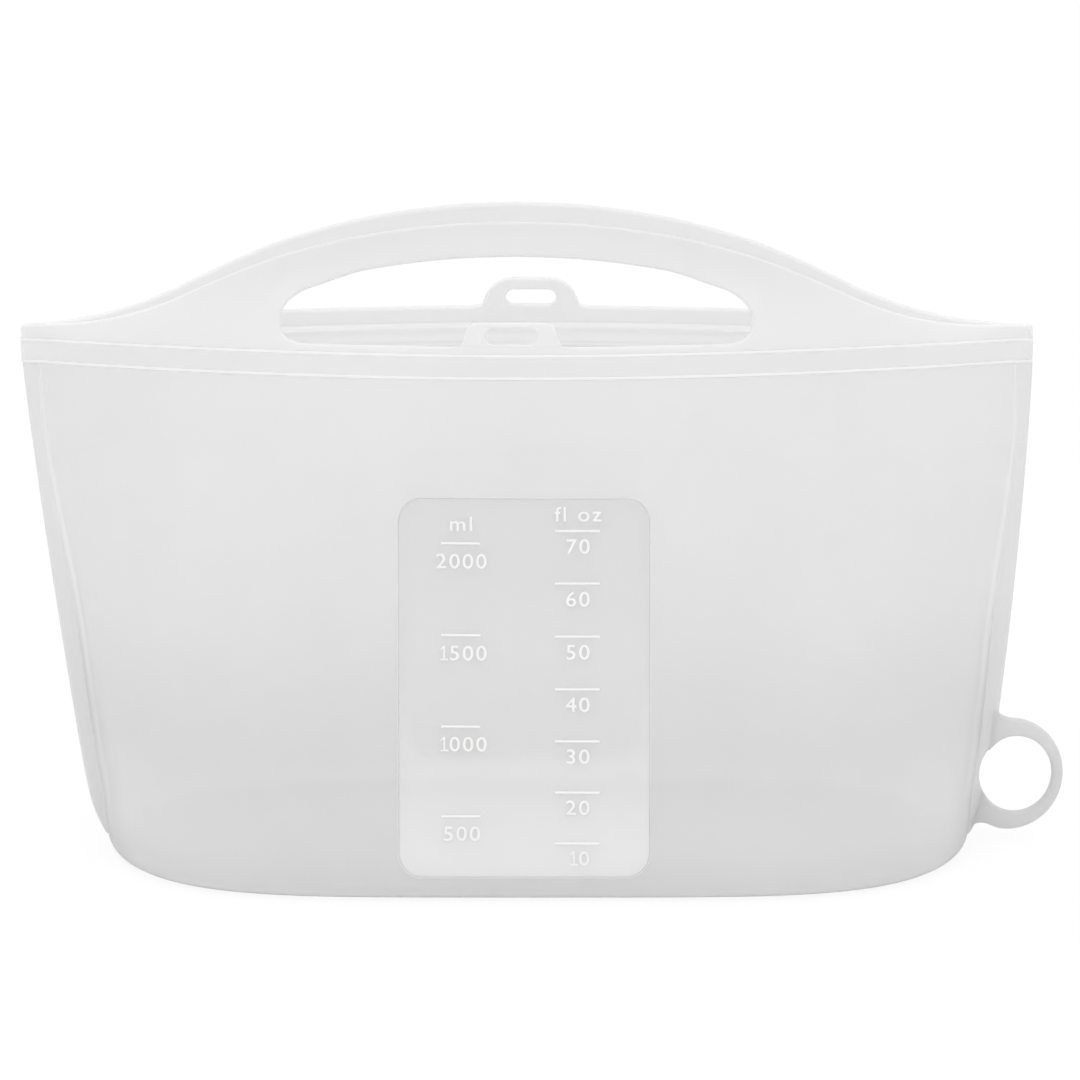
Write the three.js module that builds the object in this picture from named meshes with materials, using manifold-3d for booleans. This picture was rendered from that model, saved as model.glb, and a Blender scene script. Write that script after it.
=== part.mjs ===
// Stand-up silicone storage bag with a press-to-close mouth, two grip handles,
// pull tabs, a measuring window and a hanging ring.
// Millimetres. +Z up, front is -Y, +X to the right. Origin: centre of the underside.
import * as THREE from 'three';
import { mergeVertices } from 'three/addons/utils/BufferGeometryUtils.js';
import Module from 'manifold-3d';

const { lerp, smoothstep } = THREE.MathUtils;
const FRONT = -1, REAR = 1;     // sign of y
const LEFT = -1, RIGHT = 1;     // sign of x

// ---------------------------------------------------------------- shared dimensions
const WALL = 2.0;               // wall thickness
const GAP = 0.35;               // clearance between neighbouring regions
const Z_RIM_TOP = 6.0;          // top of the rounded bottom edge
const Z_WALL = [6.4, 140.6];    // walls, from above the rim to just under the zip band
const Z_ZIP = 141.0;            // underside of the zip band
const Z_SEAM = 148.0;           // top of the zip band, base line of the handles
const CENTRE_SHIFT = -3.1;      // x of the mouth centre; the foot is centred on x = 0
const FIN_WIDTH = [2.5, 4.5];   // side flange outside the wall, at the foot and above it
const FIN_GROW = [4, 16];       // heights between which it reaches its full width
const FIN_HALF = 1.35;          // half thickness of the flange
const SEAM_FLARE = [60, 141];   // heights between which the walls widen to the flange's edge
const WALL_END_Y = 3.4;         // half depth where the walls stop and the side seam begins
const HANDLE_CX = -6.0;         // centre of arches and grip openings
const ZIP_END = 117.6;          // mouth centre to the ends of the zip tracks

// [height, outer half depth of the body on the centre line]
const DEPTH = [
  [0, 46.4], [6, 47.5], [30, 43.8], [60, 36.8], [85, 30.0], [109, 24.8],
  [125, 22.3], [141, 20.9], [148, 20.4], [183.3, 14.0], [200, 11],
];
// [height, half width over the side flanges]
const WIDTH = [
  [0, 122.6], [4, 125.0], [10, 127.3], [16, 128.6], [28, 130.2], [46, 132.1],
  [70, 134.4], [94, 136.4], [117, 138.0], [134, 139.0], [147, 139.4], [200, 139.4],
];
// [distance from the arch's centre, height of the arch above the zip band]
const ARCH = [
  [0, 35.3], [16, 34.7], [32, 32.9], [48, 29.9], [64, 25.4], [72, 22.4], [80, 19.0], [88, 15.3],
  [96, 11.6], [104, 8.6], [112, 6.4], [120, 4.9], [128, 4.1], [140, 3.6], [160, 3.4],
];

// ---------------------------------------------------------------- geometry helpers
const vec = (x, y, z) => new THREE.Vector3(x, y, z);
const range = (from, to, steps) =>
  Array.from({ length: steps + 1 }, (_, i) => from + (to - from) * i / steps);

// smooth interpolation of a table (Catmull-Rom tangents), held constant past its ends
function curve(table, t) {
  const last = table.length - 1;
  if (t <= table[0][0]) return table[0][1];
  if (t >= table[last][0]) return table[last][1];
  let i = 0;
  while (table[i + 1][0] < t) i++;
  const [x0, y0] = table[i], [x1, y1] = table[i + 1], step = x1 - x0;
  const tangent = (k) => {
    const before = table[Math.max(k - 1, 0)], after = table[Math.min(k + 1, last)];
    return step * (after[1] - before[1]) / (after[0] - before[0]);
  };
  const s = (t - x0) / step;
  return (2 * s ** 3 - 3 * s ** 2 + 1) * y0 + (s ** 3 - 2 * s ** 2 + s) * tangent(i)
    + (-2 * s ** 3 + 3 * s ** 2) * y1 + (s ** 3 - s ** 2) * tangent(i + 1);
}

// indexed geometry, turned outward if its signed volume is negative
function solid(points, index) {
  const geo = new THREE.BufferGeometry();
  const coords = points.flatMap((p) => [p.x, p.y, p.z]);
  geo.setAttribute('position', new THREE.Float32BufferAttribute(coords, 3));
  let volume = 0;
  for (let i = 0; i < index.length; i += 3) {
    const [a, b, c] = index.slice(i, i + 3).map((k) => points[k]);
    volume += a.dot(b.clone().cross(c));
  }
  if (volume < 0) {
    for (let i = 0; i < index.length; i += 3) {
      [index[i], index[i + 1]] = [index[i + 1], index[i]];
    }
  }
  geo.setIndex(index);
  return geo;
}

// closed sheet between two grids of points [row][column]
function sheet(outer, inner) {
  const rows = outer.length, cols = outer[0].length, index = [];
  const out = (r, c) => r * cols + c;
  const inn = (r, c) => rows * cols + out(r, c);
  const quad = (a, b, c, d) => index.push(a, b, c, a, c, d);
  const top = rows - 1, end = cols - 1;
  for (let r = 0; r < top; r++) {
    for (let c = 0; c < end; c++) {
      quad(out(r, c), out(r, c + 1), out(r + 1, c + 1), out(r + 1, c));
      quad(inn(r, c), inn(r + 1, c), inn(r + 1, c + 1), inn(r, c + 1));
    }
  }
  for (let c = 0; c < end; c++) {
    quad(out(0, c), inn(0, c), inn(0, c + 1), out(0, c + 1));
    quad(out(top, c), out(top, c + 1), inn(top, c + 1), inn(top, c));
  }
  for (let r = 0; r < top; r++) {
    quad(out(r, 0), out(r + 1, 0), inn(r + 1, 0), inn(r, 0));
    quad(out(r, end), inn(r, end), inn(r + 1, end), out(r + 1, end));
  }
  return solid([...outer.flat(), ...inner.flat()], index);
}

// skin over closed sections with equal point counts; capPlane ('xy' or 'yz') is the plane
// the end caps are triangulated in; without it the sections close into a loop
function loft(sections, capPlane) {
  const size = sections[0].length, count = sections.length, index = [];
  for (let s = 0; s < (capPlane ? count - 1 : count); s++) {
    const here = s * size, next = ((s + 1) % count) * size;
    for (let i = 0; i < size; i++) {
      const j = (i + 1) % size;
      index.push(here + i, here + j, next + j, here + i, next + j, next + i);
    }
  }
  const cap = (s, flip) => {
    const flat = sections[s].map((p) => (
      capPlane === 'xy' ? new THREE.Vector2(p.x, p.y) : new THREE.Vector2(p.y, p.z)));
    const order = flat.map((_, i) => s * size + i);
    const clockwise = THREE.ShapeUtils.isClockWise(flat);
    if (clockwise) {
      flat.reverse();
      order.reverse();
    }
    for (const face of THREE.ShapeUtils.triangulateShape(flat, [])) {
      const [a, b, c] = face.map((k) => order[k]);
      index.push(...(flip !== clockwise ? [a, c, b] : [a, b, c]));
    }
  };
  if (capPlane) {
    cap(0, true);
    cap(count - 1, false);
  }
  return solid(sections.flat(), index);
}

const wasm = await Module();
wasm.setup();
function toManifold(source) {
  const bare = source.clone();
  for (const key of Object.keys(bare.attributes)) {
    if (key !== 'position') bare.deleteAttribute(key);
  }
  const geo = mergeVertices(bare, 1e-4);
  const mesh = new wasm.Mesh({
    numProp: 3,
    vertProperties: new Float32Array(geo.attributes.position.array),
    triVerts: new Uint32Array(geo.index.array),
  });
  mesh.merge();
  return new wasm.Manifold(mesh);
}
function fromManifold(manifold) {
  const mesh = manifold.getMesh(), geo = new THREE.BufferGeometry();
  const coords = new Float32Array(mesh.vertProperties);
  geo.setAttribute('position', new THREE.BufferAttribute(coords, 3));
  geo.setIndex(new THREE.BufferAttribute(new Uint32Array(mesh.triVerts), 1));
  return geo;
}
const cut = (a, b) => fromManifold(toManifold(a).subtract(toManifold(b)));
const common = (a, b) => fromManifold(toManifold(a).intersect(toManifold(b)));

// flat shape in x-z pushed through y0..y1
function through(shape, y0, y1, bevel = 0) {
  const { shape: outline, holes } = shape.extractPoints(8);
  // repeated points are dropped
  const tidy = (points) => points.filter(
    (p, i) => p.distanceTo(points[(i + 1) % points.length]) > 1e-3);
  const clean = new THREE.Shape(tidy(outline));
  clean.holes = holes.map((hole) => new THREE.Path(tidy(hole)));
  const geo = new THREE.ExtrudeGeometry(clean, {
    depth: y1 - y0 - 2 * bevel,
    bevelEnabled: bevel > 0,
    bevelThickness: bevel,
    bevelSize: bevel,
    bevelOffset: -bevel,
    bevelSegments: 1,
  });
  geo.translate(0, 0, bevel);
  geo.rotateX(Math.PI / 2);
  geo.translate(0, y1, 0);
  return geo;
}
function roundedRect(x0, x1, z0, z1, r) {
  const shape = new THREE.Shape(), quarter = Math.PI / 2;
  shape.moveTo(x0 + r, z0);
  shape.lineTo(x1 - r, z0);
  shape.absarc(x1 - r, z0 + r, r, -quarter, 0, false);
  shape.lineTo(x1, z1 - r);
  shape.absarc(x1 - r, z1 - r, r, 0, quarter, false);
  shape.lineTo(x0 + r, z1);
  shape.absarc(x0 + r, z1 - r, r, quarter, 2 * quarter, false);
  shape.lineTo(x0, z0 + r);
  shape.absarc(x0 + r, z0 + r, r, 2 * quarter, 3 * quarter, false);
  return shape;
}

// ---------------------------------------------------------------- form of the body
const heightShare = (z) => Math.min(Math.max(z, 0) / Z_SEAM, 1);
const centreX = (z) => CENTRE_SHIFT * heightShare(z) ** 1.5;
const finHalfWidth = (z) => curve(WIDTH, z);
const finWidth = (z) =>
  lerp(...FIN_WIDTH, smoothstep(z, ...FIN_GROW)) * (1 - smoothstep(z, ...SEAM_FLARE));
const wallHalfWidth = (z) => finHalfWidth(z) - finWidth(z);
const depth = (z) => curve(DEPTH, z);
const archAt = (x) => curve(ARCH, Math.abs(x - HANDLE_CX));

// Plan section: |y| = depth * (1 - |u|^planInner)^planOuter, u = -1..1 across the wall.
// Squarish at the foot, lens-shaped at the mouth.
const planInner = (z) => 1.8 + 3.2 * (1 - heightShare(z)) ** 1.2;
const planOuter = (z) => 0.526 + 0.474 * heightShare(z) ** 1.3;
const bow = (u, z) =>
  depth(z) * Math.max(0, 1 - Math.min(1, Math.abs(u)) ** planInner(z)) ** planOuter(z);
// half depth from the zip band up, over the full mouth width
const lipY = (x, z) => {
  const u = Math.min(1, Math.abs(x - centreX(z)) / finHalfWidth(z));
  return depth(z) * Math.max(0, 1 - u ** 1.8);
};

function wallPoint(side, u, z, inset) {
  const at = (uu, zz) => vec(centreX(zz) + uu * wallHalfWidth(zz), side * bow(uu, zz), zz);
  const point = at(u, z);
  if (!inset) return point;
  const du = 0.0015, dz = 0.2, uMax = 0.99999;     // difference steps for the normal
  const across = at(Math.min(u + du, uMax), z).sub(at(Math.max(u - du, -uMax), z));
  const up = at(u, z + dz).sub(at(u, z - dz));
  const outward = across.cross(up).normalize().multiplyScalar(-side);
  return point.addScaledVector(outward, -inset);
}
// u where the wall's half depth falls to WALL_END_Y
const endStation = (z) =>
  (1 - (WALL_END_Y / depth(z)) ** (1 / planOuter(z))) ** (1 / planInner(z));

// ---------------------------------------------------------------- walls and side seams
function wall(side) {
  const grid = (inset) => range(...Z_WALL, 12).map((z) => {
    const edge = Math.asin(endStation(z));
    return range(-edge, edge, 22).map((angle) => wallPoint(side, Math.sin(angle), z, inset));
  });
  return sheet(grid(0), grid(WALL));
}

const FIN_CHAMFER = 0.8;        // length in x of the flange's bevelled edge
const FIN_ROOT_HALF = FIN_HALF + 0.15;
function sideSeam(dir) {
  return loft(range(...Z_WALL, 14).map((z) => {
    const end = endStation(z), centre = centreX(z);
    const outer = wallPoint(FRONT, end * dir, z, 0), inner = wallPoint(FRONT, end * dir, z, WALL);
    // step along the wall line to leave the clearance
    const step = wallPoint(FRONT, Math.min(0.9999, end + 0.002) * dir, z, 0).sub(outer);
    step.z = 0;
    step.normalize().multiplyScalar(GAP);
    outer.add(step);
    inner.add(step);
    const tip = centre + dir * finHalfWidth(z);
    const root = centre + dir * Math.max((outer.x - centre) * dir + 0.2,
      Math.min(wallHalfWidth(z) + 0.9, finHalfWidth(z) - 2.6));
    const half = [      // front half, from the inside to the flange's tip: [x, y]
      [inner.x, Math.min(inner.y, -0.5)], [outer.x, outer.y], [root, -FIN_ROOT_HALF],
      [tip - dir * FIN_CHAMFER, -FIN_HALF], [tip, -FIN_HALF * 0.45],
    ];
    return [...half.map(([x, y]) => vec(x, y, z)),
      ...half.reverse().map(([x, y]) => vec(x, -y, z))];
  }), 'xy');
}

// ---------------------------------------------------------------- foot
const BASE_THICK = 2.2;
const BASE_CHAMFER = [0.6, 0.5];        // inward, downward
const RIM_INSET = 5.0;                  // outline to the rim's inner edge on the underside
const UNDERSIDE_NARROW = 1.2;           // taken off the half width on the underside
const RIM_PROFILE = [[4.9, 0], [2.4, 0.9], [0.8, 2.4], [0, Z_RIM_TOP]];     // [inset, height]
const FOOT_W = wallHalfWidth(Z_RIM_TOP), FOOT_D = depth(Z_RIM_TOP);
// outline |x/w|^FOOT_EXP_X + |y/d|^FOOT_EXP_Y = 1
const FOOT_EXP_X = planInner(Z_RIM_TOP), FOOT_EXP_Y = 1 / planOuter(Z_RIM_TOP);
const FOOT_STEPS = 56;
const FOOT_ANGLES = Array.from({ length: FOOT_STEPS },
  (_, k) => 2 * Math.PI * (k + 0.5) / FOOT_STEPS);

function footPoint(w, d, angle, z) {
  const c = Math.cos(angle), s = Math.sin(angle);
  return vec(Math.sign(c) * w * Math.abs(c) ** (2 / FOOT_EXP_X),
    Math.sign(s) * d * Math.abs(s) ** (2 / FOOT_EXP_Y), z);
}
// outline point moved inward along the outline's normal
function footOffset(w, d, angle, z, inset) {
  const p = footPoint(w, d, angle, z);
  const slope = (v, size, exp) => Math.sign(v) * exp * (Math.abs(v) / size) ** (exp - 1) / size;
  const nx = slope(p.x, w, FOOT_EXP_X), ny = slope(p.y, d, FOOT_EXP_Y), length = Math.hypot(nx, ny);
  return vec(p.x - inset * nx / length, p.y - inset * ny / length, z);
}
const undersidePoint = (angle, z, inset) =>
  footOffset(FOOT_W - UNDERSIDE_NARROW, FOOT_D, angle, z, inset);

const baseRim = () => loft(FOOT_ANGLES.map((angle) => [
  ...RIM_PROFILE.map(([inset, z]) => footPoint(FOOT_W - inset, FOOT_D - inset * 0.7, angle, z)),
  footOffset(FOOT_W, FOOT_D, angle, Z_RIM_TOP, WALL),
  undersidePoint(angle, 0, RIM_INSET),
]));
function basePanel() {
  const inset = RIM_INSET + GAP, [chamferIn, chamferDown] = BASE_CHAMFER;
  const ring = (off, z) => FOOT_ANGLES.map((angle) => undersidePoint(angle, z, off));
  return loft([ring(inset, 0), ring(inset, BASE_THICK - chamferDown),
    ring(inset + chamferIn, BASE_THICK)], 'xy');
}

// ---------------------------------------------------------------- windows and scale
const WIN_CX = -3.8, WIN_HALF = 34.3, WIN_Z0 = 7.4, WIN_Z1 = 109.0, WIN_R = 6.6;
const WIN_GAP = 0.3;                            // clearance of the panes in the walls
const MARK_RISE = 0.45, MARK_ROOT = 0.9;        // scale lines above and below the surface
const MARK_LINE = 0.6;                          // their width
const ML_Z = [97.0, 72.8, 48.5, 24.2], ML_X = [-26.4, -15.8];
const OZ_Z = range(16.8, 100.4, 6), OZ_X = [4.7, 16.8];

// prism through the front or rear wall, smaller than the opening by the margin
function windowPrism(side, margin) {
  const shape = roundedRect(WIN_CX - WIN_HALF + margin, WIN_CX + WIN_HALF - margin,
    WIN_Z0 + margin, WIN_Z1 - margin, WIN_R - margin);
  return through(shape, Math.min(0, side * 70), Math.max(0, side * 70));
}
const wallWithOpening = (side) => cut(wall(side), windowPrism(side, 0));
const pane = (side) => common(wall(side), windowPrism(side, WIN_GAP));

function scaleLine([x0, x1], z) {
  const grid = (inset) => [z - MARK_LINE / 2, z + MARK_LINE / 2].map((zz) => (
    [x0, x1].map((x) => wallPoint(FRONT, (x - centreX(zz)) / wallHalfWidth(zz), zz, inset))));
  return sheet(grid(-MARK_RISE), grid(MARK_ROOT));
}
function measuringWindow() {
  const lines = [...ML_Z.map((z) => scaleLine(ML_X, z)), ...OZ_Z.map((z) => scaleLine(OZ_X, z))];
  return fromManifold(wasm.Manifold.union([pane(FRONT), ...lines].map(toManifold)));
}

// ---------------------------------------------------------------- zip tracks
const LIP_RISE = { [FRONT]: 1.6, [REAR]: 4.4 };     // lip above the band in the grip opening
const LIP_HALF = 58.2, LIP_EASE = 3.2;              // half length of that lip and of its ramps
const ZIP_THICK = WALL + 0.2, ZIP_BULGE = 0.35;
const RIB_IN = ZIP_THICK + 1.6;                     // inset of the front rib's crest
const CHANNEL_IN = ZIP_THICK + 2.2;                 // inset of the rear channel's jaws
const CHANNEL_FLOOR = WALL + 0.9;
// inner face from the bottom up: [inset, z]
const ZIP_PROFILE = {
  [FRONT]: [[ZIP_THICK, 142.9], [RIB_IN, 143.5], [RIB_IN, 145.4], [ZIP_THICK, 146.0]],
  [REAR]: [
    [ZIP_THICK, 141.9], [CHANNEL_IN, 142.2], [CHANNEL_IN, 142.9], [CHANNEL_FLOOR, 143.1],
    [CHANNEL_FLOOR, 145.9], [CHANNEL_IN, 146.1], [CHANNEL_IN, 146.8], [ZIP_THICK, 147.1],
  ],
};
function zipTrack(side) {
  const mouthX = centreX(Z_SEAM), ramp = range(LIP_HALF - LIP_EASE, LIP_HALF, 4);
  const stations = [
    ...range(mouthX - ZIP_END, HANDLE_CX - LIP_HALF - 3, 7),
    ...ramp.map((a) => HANDLE_CX - a).reverse(),
    ...range(HANDLE_CX - 51, HANDLE_CX + 51, 17),
    ...ramp.map((a) => HANDLE_CX + a),
    ...range(HANDLE_CX + LIP_HALF + 3, mouthX + ZIP_END, 7),
  ];
  return loft(stations.map((x) => {
    const inside = LIP_HALF - Math.abs(x - HANDLE_CX);
    const top = Z_SEAM + LIP_RISE[side] * smoothstep(inside, 0, LIP_EASE);
    const profile = [
      [0, top], [0, Z_ZIP + 5.6], [-ZIP_BULGE, Z_ZIP + 5.2], [-ZIP_BULGE, Z_ZIP + 1.0],
      [0, Z_ZIP], [ZIP_THICK, Z_ZIP], ...ZIP_PROFILE[side], [ZIP_THICK, top],
    ];
    return profile.map(([inset, z]) => vec(x, side * (lipY(x, z) - inset), z));
  }), 'yz');
}

// ---------------------------------------------------------------- mouth corners
// distances from the mouth centre
const CORNER = [ZIP_END + 0.5, 139.4], CORNER_SLOT = [ZIP_END - 2, 131.0];
const CORNER_TAPER = [137.6, 139.5];
const CORNER_BULGE = 0.3;
function mouthCorner(dir) {
  const half = (x, z) => Math.max(lipY(x, z), FIN_HALF);
  // loft of sections symmetric about y = 0, each given as [half depth, z] from the bottom up
  const symmetric = (span, steps, sectionAt) => loft(range(...span, steps).map((distance) => {
    const x = centreX(Z_SEAM) + dir * distance, section = sectionAt(x, distance);
    return [...section.map(([y, z]) => vec(x, -y, z)),
      ...section.reverse().map(([y, z]) => vec(x, y, z))];
  }), 'yz');
  const body = symmetric(CORNER, 10, (x, distance) => {
    const taper = smoothstep(distance, ...CORNER_TAPER);
    const top = Z_SEAM + archAt(x) - 1.3 * taper;
    return [
      [half(x, Z_ZIP), Z_ZIP], [half(x, 144) + CORNER_BULGE, 143],
      [half(x, 146) + CORNER_BULGE, 146], [half(x, Z_SEAM), Z_SEAM], [half(x, top) - 0.2, top],
    ].map(([y, z]) => [y * (1 - 0.45 * taper), z]);
  });
  const slot = symmetric(CORNER_SLOT, 8, (x) => [143.4, Z_SEAM, Z_SEAM + 14].map(
    (z) => [Math.max(0.25, half(x, Math.min(z, 150)) - WALL - 0.3), z]));
  return cut(body, slot);
}

// ---------------------------------------------------------------- handles
const HANDLE_THICK = 2.2;
const HANDLE_GAP = 2.6;         // height left between zip band and handle legs
const LEG_END = 117.2;          // mouth centre to the outer end of the legs
const ARCH_BAND = 9.3;          // width of the arch above the opening
const GRIP_HALF = 64.0;         // half width of the grip opening
const GRIP_FLAT = 56;           // where its rounded ends begin
const GRIP_BOTTOM = -6;         // its lower edge, from the base line
const GRIP_DROOP = 1.3;         // drop of its upper edge below the arch's line at the ends
function gripShape() {
  const upper = range(-GRIP_FLAT, GRIP_FLAT, 20).map((offset) => {
    const r = Math.abs(offset);
    const slope = curve(ARCH, r + 0.5) - curve(ARCH, Math.max(0, r - 0.5));
    const droop = GRIP_DROOP * smoothstep(r, 40, GRIP_FLAT);
    return [offset, curve(ARCH, r) - ARCH_BAND * Math.hypot(1, slope) - droop];
  });
  const endRise = upper.at(-1)[1];
  const at = (offset, rise) => [HANDLE_CX + offset, Z_SEAM + rise];
  const s = new THREE.Shape();
  s.moveTo(...at(-GRIP_FLAT, GRIP_BOTTOM));
  s.lineTo(...at(GRIP_FLAT, GRIP_BOTTOM));
  s.lineTo(...at(GRIP_FLAT, 2.2));
  s.bezierCurveTo(...at(60.5, 2.4), ...at(GRIP_HALF, 3.6), ...at(GRIP_HALF, 7.5));
  s.lineTo(...at(GRIP_HALF, 10));
  s.bezierCurveTo(...at(GRIP_HALF, 13.2), ...at(61, endRise - 1), ...at(GRIP_FLAT, endRise));
  for (const point of upper.slice(0, -1).reverse()) s.lineTo(...at(...point));
  s.bezierCurveTo(...at(-61, endRise - 1), ...at(-GRIP_HALF, 13.2), ...at(-GRIP_HALF, 10));
  s.lineTo(...at(-GRIP_HALF, 7.5));
  s.bezierCurveTo(...at(-GRIP_HALF, 3.6), ...at(-60.5, 2.4), ...at(-GRIP_FLAT, 2.2));
  s.closePath();
  return s;
}
function handle(side) {
  const mouthX = centreX(Z_SEAM);
  const grid = (thickness) => range(0, 1, 4).map((share) => (
    range(mouthX - LEG_END, mouthX + LEG_END, 40).map((x) => {
      const z = Z_SEAM + HANDLE_GAP + (archAt(x) - HANDLE_GAP) * share;
      const slope = lipY(x + 0.5, z) - lipY(x - 0.5, z);
      return vec(x, side * (lipY(x, z) - thickness * Math.hypot(1, slope)), z);
    })));
  return cut(sheet(grid(0), grid(HANDLE_THICK)), through(gripShape(), -60, 60));
}

// ---------------------------------------------------------------- pull tabs
const TAB_BASE = 26.8, TAB_TOP = 13.6, TAB_THICK = 2.0;
const SLOT_LENGTH = 14.0, SLOT_HEIGHT = 3.8;
const TAB = {           // centre, lower and upper edge, height of the slot's centre
  [FRONT]: { cx: -7.3, z0: 150.6, z1: 156.4, slotZ: 153.2 },
  [REAR]: { cx: -2.0, z0: 153.4, z1: 160.7, slotZ: 156.0 },
};
function pullTab(side) {
  const { cx, z0, z1, slotZ } = TAB[side], base = TAB_BASE / 2, top = TAB_TOP / 2;
  const s = new THREE.Shape();
  s.moveTo(cx - base, z0);
  s.lineTo(cx + base, z0);
  s.bezierCurveTo(cx + base - 0.6, z0 + 3.6, cx + top + 3.4, z1, cx + top, z1);
  s.lineTo(cx - top, z1);
  s.bezierCurveTo(cx - top - 3.4, z1, cx - base + 0.6, z0 + 3.6, cx - base, z0);
  const r = SLOT_HEIGHT / 2, reach = SLOT_LENGTH / 2 - r, slot = new THREE.Path();
  slot.absarc(cx + reach, slotZ, r, Math.PI / 2, -Math.PI / 2, true);
  slot.absarc(cx - reach, slotZ, r, -Math.PI / 2, Math.PI / 2, true);
  slot.closePath();
  s.holes.push(slot);
  const y = side * (lipY(cx, 153) - HANDLE_THICK / 2);      // middle of the handle's thickness
  return through(s, y - TAB_THICK / 2, y + TAB_THICK / 2, 0.35);
}

// ---------------------------------------------------------------- hanging ring
// outer ellipse (cx, rx, rz), hole (hx, hrx, hrz), shared centre height, half thickness
const RING = { cx: 134.5, cz: 19.9, rx: 15.3, rz: 16.75, hx: 136.3, hrx: 10.3, hrz: 11.5, half: 1.5 };
// sloping line where the ring meets the seam
const ringCutX = (z) => 127.0 + 0.152 * (z - 5.0);
const ringHole = (margin) => Array.from({ length: 48 }, (_, k) => {
  const angle = 2 * Math.PI * k / 48;
  return new THREE.Vector2(RING.hx + (RING.hrx + margin) * Math.cos(angle),
    RING.cz + (RING.hrz + margin) * Math.sin(angle));
});
function hangingRing() {
  const onEllipse = (degrees) => {
    const angle = degrees * Math.PI / 180;
    return [RING.cx + RING.rx * Math.cos(angle), RING.cz + RING.rz * Math.sin(angle)];
  };
  const s = new THREE.Shape();
  s.moveTo(120, 42);
  s.lineTo(129.6, 41.0);
  s.bezierCurveTo(130.4, 38.6, 131.4, 37.2, ...onEllipse(84));
  for (const degrees of range(78, -108, 31)) s.lineTo(...onEllipse(degrees));
  s.bezierCurveTo(128.6, 4.6, 127.9, 3.6, 127.0, 2.2);
  s.lineTo(120, 2.2);
  s.closePath();
  s.holes.push(new THREE.Path(ringHole(0)));
  const seamSide = new THREE.Shape([[100, -20], [ringCutX(-20), -20], [ringCutX(60), 60], [100, 60]]
    .map(([x, z]) => new THREE.Vector2(x, z)));
  return cut(through(s, -RING.half, RING.half, 0.45), through(seamSide, -10, 10));
}
// the right seam, cleared where the ring's hole overlaps it
const rightSeam = () =>
  cut(sideSeam(RIGHT), through(new THREE.Shape(ringHole(0.2)), -3.2, 3.2));

// ---------------------------------------------------------------- assembly
const FROSTED = new THREE.MeshStandardMaterial({ color: 0xe6e6e4, roughness: 0.55 });
const CLEAR = new THREE.MeshStandardMaterial({ color: 0xdcdedd, roughness: 0.25 });
const bag = new THREE.Group();
bag.name = 'silicone_bag';
function add(name, source, material = FROSTED) {
  const geo = source.index ? source.toNonIndexed() : source;
  geo.computeVertexNormals();
  const mesh = new THREE.Mesh(geo, material);
  mesh.name = name;
  bag.add(mesh);
}
add('front_wall', wallWithOpening(FRONT));
add('rear_wall', wallWithOpening(REAR));
add('measuring_window', measuringWindow(), CLEAR);
add('rear_window', pane(REAR), CLEAR);
add('base_panel', basePanel());
add('base_rim', baseRim());
add('left_side_seam', sideSeam(LEFT));
add('right_side_seam', rightSeam());
add('front_zip_track', zipTrack(FRONT));
add('rear_zip_track', zipTrack(REAR));
add('left_mouth_corner', mouthCorner(LEFT));
add('right_mouth_corner', mouthCorner(RIGHT));
add('front_handle', handle(FRONT));
add('rear_handle', handle(REAR));
add('front_pull_tab', pullTab(FRONT));
add('rear_pull_tab', pullTab(REAR));
add('hanging_ring', hangingRing());

export default bag;
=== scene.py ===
"""Soft silicone storage bag with a measuring window, two handles and a hanging ring.

The bag stands on z = 0 with its width along x and its depth along y. The front faces -y,
left is -x, and the hanging ring is low on the right (+x). Lengths are in millimetres up to
the point where a mesh is made; the stage, the camera and the blend points are in metres.
"""
import math
from functools import partial

import bmesh
import bpy
import numpy as np
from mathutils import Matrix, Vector
from mathutils.geometry import delaunay_2d_cdt


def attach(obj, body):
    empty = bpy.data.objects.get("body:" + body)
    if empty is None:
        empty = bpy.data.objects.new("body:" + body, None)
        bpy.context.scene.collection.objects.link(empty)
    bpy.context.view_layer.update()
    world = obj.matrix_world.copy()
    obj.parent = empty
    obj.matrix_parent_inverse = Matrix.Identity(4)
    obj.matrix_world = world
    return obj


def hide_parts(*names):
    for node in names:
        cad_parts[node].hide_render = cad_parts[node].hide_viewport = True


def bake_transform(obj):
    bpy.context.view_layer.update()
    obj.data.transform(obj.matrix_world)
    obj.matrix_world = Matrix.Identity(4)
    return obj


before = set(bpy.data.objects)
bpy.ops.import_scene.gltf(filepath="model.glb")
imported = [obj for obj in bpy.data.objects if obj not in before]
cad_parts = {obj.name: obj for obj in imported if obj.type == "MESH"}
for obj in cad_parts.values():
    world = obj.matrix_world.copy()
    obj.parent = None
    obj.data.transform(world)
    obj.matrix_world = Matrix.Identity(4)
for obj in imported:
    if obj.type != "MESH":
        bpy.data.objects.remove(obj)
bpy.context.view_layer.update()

MM = 0.001
FRONT, REAR = -1, 1                # also the sign of y
SIDES = {FRONT: "front", REAR: "rear"}
SKIN, JOINT, EDGE_HIGHLIGHT = 0, 1, 2        # material slots of the moulded pieces; the third takes a painted highlight

# ------------------------------------------------------------------ shape of the bag (mm)
Z_RIM = 6.2                        # the rounded bottom edge starts here
Z_BAND, Z_SEAM = 141.0, 148.0      # foot and top of the zip bands
FLANGE_HALF = 1.35                 # half thickness of the side flanges
WALL_T, LIP_T = 2.0, 2.2           # thickness of the walls and of the mouth
HANDLE_X = -6.0

# (height, half depth)
DEPTH = [(0, 46.4), (6, 47.5), (30, 43.8), (60, 36.8), (85, 30.0), (109, 24.8), (125, 22.3),
         (141, 20.9), (148, 20.4), (183.3, 14.0), (200, 11)]
# (height, half width over the flanges)
WIDTH = [(0, 122.6), (4, 125.0), (10, 127.3), (16, 128.6), (28, 130.2), (46, 132.1),
         (70, 134.4), (94, 136.4), (117, 138.0), (134, 139.0), (147, 139.4), (200, 139.4)]
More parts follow.
